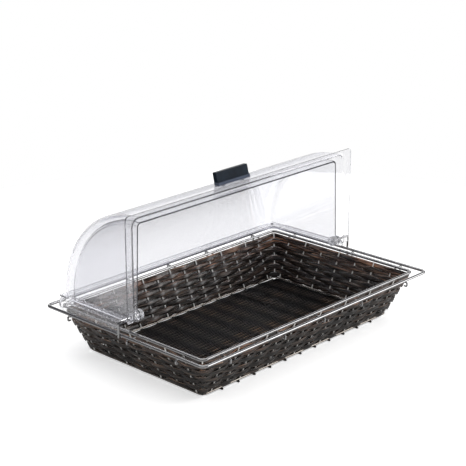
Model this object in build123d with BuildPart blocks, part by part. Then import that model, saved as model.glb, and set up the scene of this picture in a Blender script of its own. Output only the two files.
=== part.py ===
"""Countertop bread display bin: a woven gastronorm basket with a clear roll-top cover.

Units are millimetres. +Z is up, +X runs along the length and -Y is the serving side.
The origin is on the counter, under the middle of the basket. The cover is drawn open:
its front shell is turned back over the rear shell, about an axis along X.
"""

from math import atan2, cos, pi, radians, sin, sqrt

from build123d import *
import os

# ---- Driving dimensions -------------------------------------------------------------

# Wire frame
RIM_LENGTH = 526.0  # inner rim loop, centre line to centre line
RIM_WIDTH = 326.0
RIM_HEIGHT = 83.0  # height of both loops' centre line above the counter
LOOP_SPACING_ENDS = 17.0  # outer carrying loop, outside the rim loop, on the ends
LOOP_SPACING_SIDES = 18.0  # and on the long sides
LOOP_CORNER = 9.0  # bend radius of the loops, on the centre line
ROD_D = 5.0
WALL_FLARE = 33.5  # how far each wall leans out between the counter and the rim
RIB_D = 3.0
BASE_ROD_D = 3.5
BASE_CORNER = 8.0
WELD_GAP = 0.1  # wires that are welded together are drawn this far apart

# Ribs and weave
LONG_RIBS = 14
LONG_RIB_END = 49.8  # last rib of a long wall, from the end of the rim loop
SHORT_RIBS = 7
SHORT_RIB_END = 43.3  # last rib of a short wall, from the side of the rim loop
CORNER_RIB_INSET = 2.6  # corner rib's distance from the two wall lines
ROWS = 10
ROW_GAP = 0.19  # air between two rows that lie on each other
WEAVE_FOOT_GAP = 0.27  # air between the base rod and the lowest row
WEAVE_TOP_DROP = 4.82  # upper edge of the highest row, below the middle of the rim rod
STRIP_THICK = 0.9
WEAVE_GAP = 0.27  # air between a strip and the edge of the rib that it passes
CORNER_TURN = 1.1  # a strip passing inside a corner rib turns this far before its surface
CORNER_DIP = 0.4  # and is then this far inside the wall's middle
CORNER_INSIDE = 0.4  # and passes the rib's surface this far inside it, along both walls
CORNER_SWELL = 1.15  # a strip passing outside a corner rib stands this much further out

# Floor
CROSS_ROD_D = 4.0
CROSS_RODS = 11
CROSS_ROD_END = 74.5  # last cross rod, from the end of the rim loop
CROSS_ROD_OVERHANG = 5.0  # how far a cross rod's end stands out past the wall line
MAT_PITCH = 4.3
MAT_STRIP_WIDTH = 3.7
MAT_STRIP_THICK = 1.6
SEAT_GAP = 0.15  # air between two pieces that lie on each other

# Ties that join the two loops, each with a hook below the outer loop
TIE_D = 3.0
TIE_REACH = 2.2  # how far past the outer rod's middle a tie turns down
TIE_DROP = 7.0
TIE_CURL = 5.0  # how far its end turns back in
TIE_START = 1.3  # a tie starts this far outside the rim rod's middle, clear of the weave
LONG_TIE_END = 41.0  # last tie of a long side, from the end of the rim loop
LONG_TIE_INNER = 97.0  # next tie, from the middle, where there is one too
SHORT_TIE_END = 38.0  # last tie of an end, from the side of the rim loop
SHORT_TIE_INNER = -16.0  # the tie between them, ahead of the middle

# Pivot
PIVOT_RISE = 23.5  # pivot's axis, above the loops
BRACKET_D = 4.0
BRACKET_BEND = 3.0
BRACKET_TAIL = 4.5  # how far the bracket runs down past the outer loop's middle
PIN_CLEARANCE = 0.08  # radial, pin in a shell's bore
SPACER_D = 13.0
CAP_D = 17.0
CAP_LENGTH = 9.0
CAP_BEVEL = 1.5
CAP_GRIP = 5.0  # depth of the blind hole that the cap is pushed on by
RUN_GAP = 0.4  # side clearance between pieces that turn on each other

# Front shell, the one that turns
FRONT_INSET_BACK = 17.0  # of its round back, from the outer loop
FRONT_INSET_ENDS = 21.0  # of its ends, from the outer loop
FRONT_CORNER = 15.0
FRONT_LIP_PLANE = 11.0  # lip's face, ahead of the pivot when the cover is open
CLOSING_EDGE = 7.5  # closing edge, below the pivot when the cover is open
FRONT_LIP_SIDE = 14.5  # lip's width on the two ends
FRONT_LIP_TOP = 7.4  # lip's width along the length
FRONT_LIP_CORNER = 6.0
MOUTH_ROUND = 5.5  # rounding of the mouth's inner edge, where wall turns into lip
PIVOT_CORNER = 6.0  # rounding of the corner that swings past the ledge
CLOSING_LIP_SIDE = 4.0
CLOSING_LIP_BACK = 3.0
WALL = 2.5  # wall of both shells

# Rear shell, the one that stands on the frame
NEST_GAP = 8.5  # air between the two round backs
NEST_GAP_ENDS = 9.0  # air between the two end walls, at the height of the pivot
REAR_DRAFT = 0.035  # the end walls lean in by this much of their height
REAR_BEVEL = 5.0
REAR_FRONT_EDGE = 2.0  # front edge, ahead of the pivot
LEDGE_GAP = 0.4  # air between the ledge and the open front shell
SKIRT_CORNER = 50.0
SKIRT_ROUND = 9.0
SKIRT_FRONT = 7.8  # the skirt starts this far behind the pivot
EAR_RADIUS = 10.5  # round ear of the rear shell's end wall, about the pin

# Handle on the front shell
HANDLE_LENGTH = 76.0
HANDLE_HEIGHT = 22.0
HANDLE_THICK = 7.5
HANDLE_ANGLE = 8.0  # behind the vertical through the pivot, cover open
HANDLE_LEAN = 9.0  # further lean of the grip itself
HANDLE_FOOT = 5.0  # height of the foot along the grip
HANDLE_FOOT_STEP = 1.6
SCREW_D = 3.5
SCREW_HEAD_D = 7.0
SCREW_HEAD = 2.2
SCREW_SPACING = 46.0
SCREW_DEPTH = 7.0  # of the hole in the handle
SCREW_END_GAP = 1.0  # air past the screw's end
SCREW_SEAT_GAP = 0.3  # air under the screw's head, at the middle of the curved wall

# ---- Values worked out from them ----------------------------------------------------

LEAN = atan2(WALL_FLARE, RIM_HEIGHT)
OUTER_LENGTH = RIM_LENGTH + 2 * LOOP_SPACING_ENDS
OUTER_WIDTH = RIM_WIDTH + 2 * LOOP_SPACING_SIDES
ROD_R = ROD_D / 2
RIB_R = RIB_D / 2
BASE_ROD_Z = CROSS_ROD_D + WELD_GAP + BASE_ROD_D / 2
RIB_FOOT_Z = BASE_ROD_Z + BASE_ROD_D / 2 + WELD_GAP
RIB_TOP_Z = RIM_HEIGHT - (ROD_R + WELD_GAP) * cos(LEAN) - WELD_GAP
RIB_EDGE = RIB_R / cos(pi / 8)  # from the rib's axis to one of its eight edges
WEAVE_SWING = (RIB_EDGE + WEAVE_GAP + STRIP_THICK / 2) / cos(LEAN)
WEAVE_FOOT_Z = BASE_ROD_Z + BASE_ROD_D / 2 + WEAVE_FOOT_GAP
ROW_PITCH = (RIM_HEIGHT - WEAVE_TOP_DROP - WEAVE_FOOT_Z + ROW_GAP) / ROWS
ROW_RISE = ROW_PITCH - ROW_GAP
BRACKET_X = OUTER_LENGTH / 2 + ROD_R + BRACKET_D / 2 + WELD_GAP
PIVOT_HEIGHT = RIM_HEIGHT + PIVOT_RISE
FRONT_RADIUS = OUTER_WIDTH / 2 - FRONT_INSET_BACK
FRONT_HALF = OUTER_LENGTH / 2 - FRONT_INSET_ENDS
REAR_RADIUS = FRONT_RADIUS - WALL - NEST_GAP
REAR_HALF = FRONT_HALF - WALL - NEST_GAP_ENDS
LEDGE_Z = PIVOT_HEIGHT - CLOSING_EDGE - LEDGE_GAP
SKIRT_FOOT_Z = RIM_HEIGHT + ROD_R + SEAT_GAP


def half_length(z):
    """Half of the basket's length at height z, on the middle of the weave."""
    return RIM_LENGTH / 2 - WALL_FLARE * (RIM_HEIGHT - z) / RIM_HEIGHT


def half_width(z):
    """Half of the basket's width at height z, on the middle of the weave."""
    return RIM_WIDTH / 2 - WALL_FLARE * (RIM_HEIGHT - z) / RIM_HEIGHT


def spread(count, pitch):
    """Places of a row of equal pieces about the middle."""
    return [pitch * (i - (count - 1) / 2) for i in range(count)]


def fill(count, length, end):
    """Places of a row of equal pieces that stops at a distance from both ends of a length."""
    return spread(count, (length - 2 * end) / (count - 1))


LONG_PLACES = fill(LONG_RIBS, RIM_LENGTH, LONG_RIB_END)
SHORT_PLACES = fill(SHORT_RIBS, RIM_WIDTH, SHORT_RIB_END)

os.makedirs("parts", exist_ok=True)


def save(part, name):
    """Label a finished piece and write it to its own file."""
    part.label = name
    export_step(part, f"parts/{name}.step")


# ---- Wire frame ---------------------------------------------------------------------


def rod_loop(length, width, corner, diameter, z):
    """A closed rectangular loop of rod with bent corners, the rod drawn twelve-sided."""
    half_x = length / 2
    half_y = width / 2
    with BuildPart() as loop:
        with BuildLine(Plane.XY.offset(z)) as run:
            Line((0, -half_y), (half_x - corner, -half_y))
            CenterArc((half_x - corner, corner - half_y), corner, -90, 90)
            Line((half_x, corner - half_y), (half_x, half_y - corner))
            CenterArc((half_x - corner, half_y - corner), corner, 0, 90)
            Line((half_x - corner, half_y), (corner - half_x, half_y))
            CenterArc((corner - half_x, half_y - corner), corner, 90, 90)
            Line((-half_x, half_y - corner), (-half_x, corner - half_y))
            CenterArc((corner - half_x, corner - half_y), corner, 180, 90)
            Line((corner - half_x, -half_y), (0, -half_y))
        with BuildSketch(Plane((0, -half_y, z), x_dir=(0, 1, 0), z_dir=(1, 0, 0))):
            RegularPolygon(diameter / 2, 12, major_radius=False, rotation=15)
        sweep(path=run.line)
    return loop.part


def bar(start, end, diameter, side_dir):
    """A straight wire drawn eight-sided, as wide across its flats as the round one.

    side_dir is the direction that one pair of flats faces.
    """
    axis = Vector(*end) - Vector(*start)
    with BuildPart() as piece:
        with BuildSketch(Plane(start, x_dir=side_dir, z_dir=axis)):
            RegularPolygon(diameter / 2, 8, major_radius=False, rotation=22.5)
        extrude(amount=axis.length)
    return piece.part


def bent_bar(points, diameter, side_dir):
    """An eight-sided wire along straight runs with sharp bends."""
    with BuildPart() as piece:
        with BuildLine() as run:
            Polyline(*points)
        with BuildSketch(Plane(points[0], x_dir=side_dir, z_dir=run.line % 0)):
            RegularPolygon(diameter / 2, 8, major_radius=False, rotation=22.5)
        sweep(path=run.line, transition=Transition.RIGHT)
    return piece.part


def bent_wire(points, diameter):
    """A round wire along straight runs with sharp bends."""
    with BuildPart() as piece:
        with BuildLine() as run:
            Polyline(*points)
        with BuildSketch(Plane(points[0], z_dir=run.line % 0)):
            Circle(diameter / 2)
        sweep(path=run.line, transition=Transition.RIGHT)
    return piece.part


def group(pieces):
    """Several separate solids that share one node."""
    return Compound(children=[solid for piece in pieces for solid in piece.solids()])


def make_loops():
    rim = rod_loop(RIM_LENGTH, RIM_WIDTH, LOOP_CORNER, ROD_D, RIM_HEIGHT)
    save(rim, "rim_rod")
    outer = rod_loop(OUTER_LENGTH, OUTER_WIDTH, LOOP_CORNER, ROD_D, RIM_HEIGHT)
    save(outer, "outer_rod")
    base_length = 2 * half_length(BASE_ROD_Z)
    base_width = 2 * half_width(BASE_ROD_Z)
    base = rod_loop(base_length, base_width, BASE_CORNER, BASE_ROD_D, BASE_ROD_Z)
    save(base, "base_rod")


def make_ribs():
    long_ribs = []
    short_ribs = []
    corner_ribs = []
    for side in (-1, 1):
        for x in LONG_PLACES:
            foot = (x, side * half_width(RIB_FOOT_Z), RIB_FOOT_Z)
            top = (x, side * half_width(RIB_TOP_Z), RIB_TOP_Z)
            long_ribs.append(bar(foot, top, RIB_D, (1, 0, 0)))
        for y in SHORT_PLACES:
            foot = (side * half_length(RIB_FOOT_Z), y, RIB_FOOT_Z)
            top = (side * half_length(RIB_TOP_Z), y, RIB_TOP_Z)
            short_ribs.append(bar(foot, top, RIB_D, (0, 1, 0)))
        for end in (-1, 1):
            foot = corner_point(RIB_FOOT_Z, side, end)
            top = corner_point(RIB_TOP_Z, side, end)
            corner_ribs.append(bar(foot, top, RIB_D, (end, -side, 0)))
    save(group(long_ribs), "long_wall_ribs")
    save(group(short_ribs), "short_wall_ribs")
    save(group(corner_ribs), "corner_ribs")


def corner_point(z, side, end):
    """Axis of a corner rib at height z: side is +-1 across, end is +-1 along."""
    x = end * (half_length(z) - CORNER_RIB_INSET)
    y = side * (half_width(z) - CORNER_RIB_INSET)
    return (x, y, z)


def tie_run(start, end):
    """Corners of one tie: out under both loops, down past the outer one and back up.

    start and end are how far from the basket's middle the tie starts and turns down.
    """
    out = 1 if end > 0 else -1
    level = RIM_HEIGHT - ROD_R - TIE_D / 2 - WELD_GAP
    heel = level - TIE_DROP
    toe = end - out * TIE_CURL
    return [(start, level), (end, level), (end, heel), (toe, heel), (toe, heel + TIE_CURL / 2)]


def make_ties():
    """Ties from under the rim rod out past the outer rod, each ending in a hook."""
    ties = []
    long_end = RIM_LENGTH / 2 - LONG_TIE_END
    short_end = RIM_WIDTH / 2 - SHORT_TIE_END
    for side in (-1, 1):
        start = side * (RIM_WIDTH / 2 + TIE_START)
        end = side * (OUTER_WIDTH / 2 + TIE_REACH)
        for x in (-long_end, -LONG_TIE_INNER, 0, LONG_TIE_INNER, long_end):
            points = [(x, reach, z) for reach, z in tie_run(start, end)]
            ties.append(bent_bar(points, TIE_D, (1, 0, 0)))
        start = side * (RIM_LENGTH / 2 + TIE_START)
        end = side * (OUTER_LENGTH / 2 + TIE_REACH)
        for y in (-short_end, SHORT_TIE_INNER, short_end):
            points = [(reach, y, z) for reach, z in tie_run(start, end)]
            ties.append(bent_bar(points, TIE_D, (0, 1, 0)))
    save(group(ties), "loop_ties")


# ---- Weave --------------------------------------------------------------------------


def row_outline(z, parity, face):
    """Corners of one face of a woven row at height z.

    The strip swings to the outside of one rib and to the inside of the next. face is the
    offset from the strip's middle, outwards.
    """
    length = half_length(z)
    width = half_width(z)
    across = (-1, 1)
    walls = (
        ((0, -1), [(x, -width) for x in LONG_PLACES]),
        ((1, 0), [(length, y) for y in SHORT_PLACES]),
        ((0, 1), [(-x, width) for x in LONG_PLACES]),
        ((-1, 0), [(-length, -y) for y in SHORT_PLACES]),
    )
    points = []
    step = parity
    for index, (normal, places) in enumerate(walls):
        for x, y in places:
            swing = across[step % 2] * WEAVE_SWING + face
            points.append((x + normal[0] * swing, y + normal[1] * swing))
            step += 1
        following = walls[(index + 1) % 4][0]
        points += corner_outline(z, normal, following, across[step % 2], face)
        step += 1
    return points


def corner_outline(z, normal, following, side, face):
    """Three corners of the strip where it goes round a corner rib."""
    x = (normal[0] + following[0]) * (half_length(z) - CORNER_RIB_INSET)
    y = (normal[1] + following[1]) * (half_width(z) - CORNER_RIB_INSET)
    slope = 1 / sqrt(2)
    if side > 0:
        reach = WEAVE_SWING + face
        first = (x + normal[0] * reach, y + normal[1] * reach)
        middle = (
            x + (normal[0] + following[0]) * reach * slope * CORNER_SWELL,
            y + (normal[1] + following[1]) * reach * slope * CORNER_SWELL,
        )
        last = (x + following[0] * reach, y + following[1] * reach)
    else:
        back = RIB_R + CORNER_TURN
        dip = CORNER_DIP - face
        inside = RIB_R + CORNER_INSIDE - face * slope
        first = (x - following[0] * back - normal[0] * dip, y - following[1] * back - normal[1] * dip)
        middle = (
            x - (normal[0] + following[0]) * inside,
            y - (normal[1] + following[1]) * inside,
        )
        last = (x - normal[0] * back - following[0] * dip, y - normal[1] * back - following[1] * dip)
    return [first, middle, last]


def make_weave_row(number):
    """One flat strip, woven round all the ribs and closed on itself."""
    foot = WEAVE_FOOT_Z + number * ROW_PITCH
    with BuildPart() as row:
        for z in (foot, foot + ROW_RISE):
            with BuildSketch(Plane.XY.offset(z)):
                with BuildLine():
                    Polyline(*row_outline(z, number, STRIP_THICK / 2), close=True)
                make_face()
                with BuildLine():
                    Polyline(*row_outline(z, number, -STRIP_THICK / 2), close=True)
                make_face(mode=Mode.SUBTRACT)
        loft(ruled=True)
    return row.part


def make_weave():
    for number in range(ROWS):
        save(make_weave_row(number), f"weave_row_{number + 1:02d}")


# ---- Floor --------------------------------------------------------------------------


def make_floor():
    reach = half_width(0) + CROSS_ROD_OVERHANG
    rods = []
    for x in fill(CROSS_RODS, RIM_LENGTH, CROSS_ROD_END):
        front = (x, -reach, CROSS_ROD_D / 2)
        back = (x, reach, CROSS_ROD_D / 2)
        rods.append(bar(front, back, CROSS_ROD_D, (1, 0, 0)))
    save(group(rods), "floor_cross_rods")

    clear = BASE_ROD_D / 2 + MAT_STRIP_WIDTH / 4
    length = half_length(BASE_ROD_Z) - clear
    width = half_width(BASE_ROD_Z) - clear
    count = int(2 * (width - MAT_STRIP_WIDTH / 2) / MAT_PITCH) + 1
    with BuildPart() as mat:
        for y in spread(count, MAT_PITCH):
            edge = abs(y) + MAT_STRIP_WIDTH / 2 - (width - BASE_CORNER)
            cut = BASE_CORNER - sqrt(BASE_CORNER**2 - edge**2) if edge > 0 else 0
            with BuildSketch(Plane.XY.offset(CROSS_ROD_D + SEAT_GAP)):
                with Locations((0, y)):
                    Rectangle(2 * (length - cut), MAT_STRIP_WIDTH)
            extrude(amount=MAT_STRIP_THICK)
    save(mat.part, "floor_mat")


# ---- Pivot --------------------------------------------------------------------------


def cap_face():
    """Distance from the middle to the outer face of a pin's end cap."""
    return REAR_HALF - WALL - RUN_GAP


def make_pivot(side, name):
    """One end's bent wire bracket, its spacer and its end cap. side is -1 or +1."""
    foot_z = RIM_HEIGHT - BRACKET_TAIL
    pin_end = side * (cap_face() - CAP_GRIP)
    points = [
        (side * BRACKET_X, 0, foot_z),
        (side * BRACKET_X, 0, PIVOT_HEIGHT - BRACKET_BEND),
        (side * (BRACKET_X - BRACKET_BEND), 0, PIVOT_HEIGHT),
        (pin_end, 0, PIVOT_HEIGHT),
    ]
    save(bent_wire(points, BRACKET_D), f"pivot_bracket_{name}")

    bore = BRACKET_D / 2 + PIN_CLEARANCE
    inner = REAR_HALF + RUN_GAP
    outer = FRONT_HALF - WALL - RUN_GAP
    with BuildPart() as spacer:
        with BuildSketch(Plane((side * inner, 0, PIVOT_HEIGHT), z_dir=(side, 0, 0))):
            Circle(SPACER_D / 2)
            Circle(bore, mode=Mode.SUBTRACT)
        extrude(amount=outer - inner)
    save(spacer.part, f"pivot_spacer_{name}")

    with BuildPart() as cap:
        with BuildSketch(Plane((side * cap_face(), 0, PIVOT_HEIGHT), z_dir=(-side, 0, 0))):
            Circle(CAP_D / 2)
        extrude(amount=CAP_LENGTH)
        with BuildSketch(Plane((side * cap_face(), 0, PIVOT_HEIGHT), z_dir=(-side, 0, 0))):
            Circle(bore)
        extrude(amount=CAP_GRIP + SEAT_GAP, mode=Mode.SUBTRACT)
        chamfer(cap.faces().sort_by(Axis.X)[0 if side > 0 else -1].edges(), CAP_BEVEL)
    save(cap.part, f"pivot_cap_{name}")


# ---- Shells -------------------------------------------------------------------------


def quarter_profile(radius, ahead, below):
    """Outline of an end wall: a quarter round about the pivot with two straight edges."""
    top = sqrt(radius**2 - ahead**2)
    back = sqrt(radius**2 - below**2)
    middle = radius * cos(pi / 4)
    Polyline((back, -below), (-ahead, -below), (-ahead, top))
    ThreePointArc((-ahead, top), (middle, middle), (back, -below))


def quarter_plane(x):
    """Sketch plane at x, across the length, with its origin on the pivot."""
    return Plane((x, 0, PIVOT_HEIGHT), x_dir=(0, 1, 0), z_dir=(1, 0, 0))


def quarter_block(radius, half, corner, ahead, below, draft=0.0):
    """Solid quarter round, its curved end edges rounded, or bevelled where the ends lean.

    half is the half length at the height of the pivot. The ends lean in by draft.
    """
    low = half + draft * below
    high = half - draft * radius
    with BuildPart() as block:
        with BuildSketch(quarter_plane(-low)):
            with BuildLine():
                quarter_profile(radius, ahead, below)
            make_face()
        extrude(amount=2 * low)
        if draft:
            front = Plane((0, -ahead, PIVOT_HEIGHT), x_dir=(1, 0, 0), z_dir=(0, -1, 0))
            with BuildSketch(front):
                with BuildLine():
                    Polyline((-low, -below), (low, -below), (high, radius), (-high, radius), close=True)
                make_face()
            extrude(amount=-(ahead + radius), mode=Mode.INTERSECT)
        curved = block.edges().filter_by(GeomType.LINE, reverse=True)
        if draft:
            chamfer(curved, corner)
        else:
            fillet(curved, corner)
    return block.part


def make_front_shell():
    """The turning shell: a thin quarter round, open on its lip side and closing side."""
    lip = FRONT_LIP_PLANE
    edge = CLOSING_EDGE
    outside = quarter_block(FRONT_RADIUS, FRONT_HALF, FRONT_CORNER, lip, edge)
    inside = quarter_block(
        FRONT_RADIUS - WALL, FRONT_HALF - WALL, FRONT_CORNER - WALL, lip + WALL, edge + WALL
    )
    top = sqrt(FRONT_RADIUS**2 - lip**2)
    back = sqrt(FRONT_RADIUS**2 - edge**2)
    with BuildPart() as shell:
        add(outside)
        # Lip round the edge that faces the server when the cover is closed
        face = Plane((0, -lip, PIVOT_HEIGHT - edge), x_dir=(1, 0, 0), z_dir=(0, -1, 0))
        with BuildSketch(face.offset(-WALL)) as outline:
            with Locations((0, (top + edge + FRONT_LIP_TOP) / 2)):
                Rectangle(2 * (FRONT_HALF + FRONT_LIP_SIDE), top + edge + FRONT_LIP_TOP)
            fillet(outline.vertices().group_by(Axis.Z)[-1], FRONT_LIP_CORNER)
        extrude(amount=WALL)
        behind_lip = [edge for edge in shell.edges() if joins_lip(edge)]
        fillet(behind_lip, MOUTH_ROUND - WALL)
        # Lip round the closing edge
        with BuildSketch(Plane.XY.offset(PIVOT_HEIGHT - edge)):
            with Locations((0, (back + CLOSING_LIP_BACK - lip) / 2)):
                Rectangle(2 * (FRONT_HALF + CLOSING_LIP_SIDE), back + CLOSING_LIP_BACK + lip)
        extrude(amount=WALL)
        add(inside, mode=Mode.SUBTRACT)
        mouth = [edge for edge in shell.edges() if rounds_mouth(edge)]
        fillet(mouth, MOUTH_ROUND)
        add(pivot_corner_tool(), mode=Mode.SUBTRACT)
        add(pin_bores(FRONT_HALF), mode=Mode.SUBTRACT)
        for x in (-SCREW_SPACING / 2, SCREW_SPACING / 2):
            with BuildSketch(handle_plane(FRONT_RADIUS - 2 * WALL)):
                with Locations((x, 0)):
                    Circle(SCREW_D / 2 + PIN_CLEARANCE)
            extrude(amount=3 * WALL, mode=Mode.SUBTRACT)
    save(shell.part, "front_shell")


def in_opening(edge, half, radius):
    """Whether an edge lies within the shell's own outline, seen from the front."""
    low = edge.bounding_box().min
    high = edge.bounding_box().max
    reach = max(-low.X, high.X)
    return reach < half + 0.01 and high.Z < PIVOT_HEIGHT + radius + 0.01


def flat_at(edge, y):
    """Whether an edge lies in the plane across the depth at y."""
    return abs(edge.bounding_box().min.Y - y) < 0.01 and abs(edge.bounding_box().max.Y - y) < 0.01


def joins_lip(edge):
    """Edges where the back of the lip meets the shell's outside."""
    return flat_at(edge, WALL - FRONT_LIP_PLANE) and in_opening(edge, FRONT_HALF, FRONT_RADIUS)


def rounds_mouth(edge):
    """Edges of the mouth on the face of the lip, but not the closing edge."""
    inside = in_opening(edge, FRONT_HALF - WALL, FRONT_RADIUS - WALL)
    return flat_at(edge, -FRONT_LIP_PLANE) and inside and edge.center().Z > PIVOT_HEIGHT


def pivot_corner_tool():
    """Tool that rounds the front shell's corner between its lip and its closing edge."""
    reach = FRONT_HALF + FRONT_LIP_SIDE + 1
    round_y = PIVOT_CORNER - FRONT_LIP_PLANE
    round_z = PIVOT_CORNER - CLOSING_EDGE
    middle = PIVOT_CORNER * cos(pi / 4)
    with BuildPart() as tool:
        with BuildSketch(quarter_plane(-reach)):
            with BuildLine():
                ThreePointArc(
                    (-FRONT_LIP_PLANE, round_z),
                    (round_y - middle, round_z - middle),
                    (round_y, -CLOSING_EDGE),
                )
                Polyline(
                    (round_y, -CLOSING_EDGE),
                    (round_y, -CLOSING_EDGE - 1),
                    (-FRONT_LIP_PLANE - 1, -CLOSING_EDGE - 1),
                    (-FRONT_LIP_PLANE - 1, round_z),
                    (-FRONT_LIP_PLANE, round_z),
                )
            make_face()
        extrude(amount=2 * reach)
    return tool.part


def pin_bores(half):
    """Tools for the pin holes through both end walls of a shell."""
    with BuildPart() as tools:
        for side in (-1, 1):
            start = side * (half + WALL)
            with BuildSketch(Plane((start, 0, PIVOT_HEIGHT), z_dir=(-side, 0, 0))):
                Circle(BRACKET_D / 2 + PIN_CLEARANCE)
            extrude(amount=3 * WALL)
    return tools.part


def make_rear_shell():
    """The standing shell: a nested quarter round over a ledge and a skirt."""
    below = PIVOT_HEIGHT - LEDGE_Z + WALL
    front = REAR_FRONT_EDGE
    outside = quarter_block(REAR_RADIUS, REAR_HALF, REAR_BEVEL, front, below, REAR_DRAFT)
    inside = quarter_block(
        REAR_RADIUS - WALL,
        REAR_HALF - WALL,
        REAR_BEVEL - WALL * (2 - sqrt(2)),
        front + WALL,
        below + WALL,
        REAR_DRAFT,
    )
    with BuildPart() as shell:
        add(skirt_block(0))
        add(skirt_block(WALL), mode=Mode.SUBTRACT)
        add(outside)
        add(ear_block())
        add(inside, mode=Mode.SUBTRACT)
        add(pin_bores(REAR_HALF), mode=Mode.SUBTRACT)
    save(shell.part, "rear_shell")


def ear_block():
    """Round ears about the pin, on the two end walls."""
    with BuildPart() as ears:
        for side in (-1, 1):
            start = side * (REAR_HALF - WALL)
            with BuildSketch(Plane((start, 0, PIVOT_HEIGHT), z_dir=(side, 0, 0))):
                Circle(EAR_RADIUS)
            extrude(amount=WALL)
    return ears.part


def skirt_block(inset):
    """Block under the ledge, its outer top edge rounded down to the outer rod."""
    half = OUTER_LENGTH / 2 - inset
    back = OUTER_WIDTH / 2 - inset
    corner = SKIRT_CORNER - inset
    top = LEDGE_Z - inset
    foot = SKIRT_FOOT_Z - (WALL if inset else 0)
    with BuildPart() as block:
        with BuildSketch(Plane.XY.offset(foot)):
            with BuildLine():
                front = SKIRT_FRONT - (WALL if inset else 0)
                Polyline((-half, back - corner), (-half, front), (half, front), (half, back - corner))
                Line((half - corner, back), (-half + corner, back))
                RadiusArc((half, back - corner), (half - corner, back), -corner)
                RadiusArc((-half + corner, back), (-half, back - corner), -corner)
            make_face()
        extrude(amount=top - foot)
        upper = block.faces().sort_by(Axis.Z)[-1]
        front_edge = upper.edges().sort_by(Axis.Y)[0]
        rounded = [edge for edge in upper.edges() if edge.center().Y > front_edge.center().Y + 1]
        fillet(rounded, SKIRT_ROUND - inset)
    return block.part


# ---- Handle -------------------------------------------------------------------------


def handle_plane(distance):
    """Plane square to the radius under the handle, at a distance from the pivot."""
    turn = radians(HANDLE_ANGLE)
    origin = (0, distance * sin(turn), PIVOT_HEIGHT + distance * cos(turn))
    return Plane(origin, x_dir=(1, 0, 0), z_dir=(0, sin(turn), cos(turn)))


def make_handle():
    """Solid grip standing on the front shell, with a foot along its lower edge."""
    seat = FRONT_RADIUS + SEAT_GAP
    slide = HANDLE_HEIGHT * sin(radians(HANDLE_LEAN))
    base = HANDLE_THICK / 2 + HANDLE_FOOT_STEP
    top = HANDLE_THICK / 2
    side_plane = Plane(
        handle_plane(seat).origin - Vector(HANDLE_LENGTH / 2, 0, 0),
        x_dir=handle_plane(seat).y_dir,
        z_dir=(1, 0, 0),
    )
    with BuildPart() as handle:
        with BuildSketch(side_plane):
            with BuildLine():
                Polyline(
                    (-base, 0),
                    (base, 0),
                    (top + slide, HANDLE_HEIGHT),
                    (-top + slide, HANDLE_HEIGHT),
                    (-top + slide * HANDLE_FOOT / HANDLE_HEIGHT, HANDLE_FOOT),
                    (-base + slide * HANDLE_FOOT / HANDLE_HEIGHT, HANDLE_FOOT),
                    close=True,
                )
            make_face()
        extrude(amount=HANDLE_LENGTH)
    with BuildPart() as bored:
        add(handle.part)
        for x in (-SCREW_SPACING / 2, SCREW_SPACING / 2):
            with BuildSketch(handle_plane(seat - 1)):
                with Locations((x, 0)):
                    Circle(SCREW_D / 2 + PIN_CLEARANCE)
            extrude(amount=SCREW_DEPTH + 1, mode=Mode.SUBTRACT)
    save(bored.part, "handle")

    screws = []
    under = FRONT_RADIUS - WALL - SEAT_GAP - SCREW_SEAT_GAP
    for x in (-SCREW_SPACING / 2, SCREW_SPACING / 2):
        with BuildPart() as screw:
            with BuildSketch(handle_plane(under - SCREW_HEAD)):
                with Locations((x, 0)):
                    Circle(SCREW_HEAD_D / 2)
            extrude(amount=SCREW_HEAD)
            with BuildSketch(handle_plane(under)):
                with Locations((x, 0)):
                    Circle(SCREW_D / 2)
            extrude(amount=WALL + SCREW_DEPTH - SCREW_END_GAP)
        screws.append(screw.part)
    save(group(screws), "handle_screws")


make_loops()
make_ribs()
make_ties()
make_weave()
make_floor()
make_pivot(-1, "left")
make_pivot(1, "right")
make_front_shell()
make_rear_shell()
make_handle()
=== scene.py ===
import math
import random

import bmesh
import bpy
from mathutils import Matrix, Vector


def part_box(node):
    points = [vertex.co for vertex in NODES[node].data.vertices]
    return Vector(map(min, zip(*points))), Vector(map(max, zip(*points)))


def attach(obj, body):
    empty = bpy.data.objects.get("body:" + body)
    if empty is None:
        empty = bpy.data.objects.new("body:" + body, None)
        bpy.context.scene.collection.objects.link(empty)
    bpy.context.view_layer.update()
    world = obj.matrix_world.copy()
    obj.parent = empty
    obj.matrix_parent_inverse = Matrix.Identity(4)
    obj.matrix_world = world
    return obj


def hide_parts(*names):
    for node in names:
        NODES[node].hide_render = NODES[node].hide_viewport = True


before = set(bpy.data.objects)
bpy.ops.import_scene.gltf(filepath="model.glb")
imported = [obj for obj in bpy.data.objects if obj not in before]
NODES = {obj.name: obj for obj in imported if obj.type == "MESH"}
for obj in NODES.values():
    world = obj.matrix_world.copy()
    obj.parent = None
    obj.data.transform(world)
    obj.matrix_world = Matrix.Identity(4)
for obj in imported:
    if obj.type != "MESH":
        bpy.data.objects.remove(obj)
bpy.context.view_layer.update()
MM = 0.001

# ---------------------------------------------------------------- shader nodes


def new_material(name, color, rough, metal=0.0):
    material = bpy.data.materials.new(name)
    material.use_nodes = True
    tree = material.node_tree
    shader = tree.nodes["Principled BSDF"]
    shader.inputs["Base Color"].default_value = (*color, 1)
    shader.inputs["Roughness"].default_value = rough
    shader.inputs["Metallic"].default_value = metal
    return material, tree, shader


def noise(tree, vector, scale, detail=3.0, rough=0.55):
    """Cloudy values about 0.5; scale is in features to the vector's unit."""
    made = tree.nodes.new("ShaderNodeTexNoise")
    made.inputs["Scale"].default_value = scale
    made.inputs["Detail"].default_value = detail
    made.inputs["Roughness"].default_value = rough
    tree.links.new(vector, made.inputs["Vector"])
    return made.outputs["Fac"]


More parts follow.
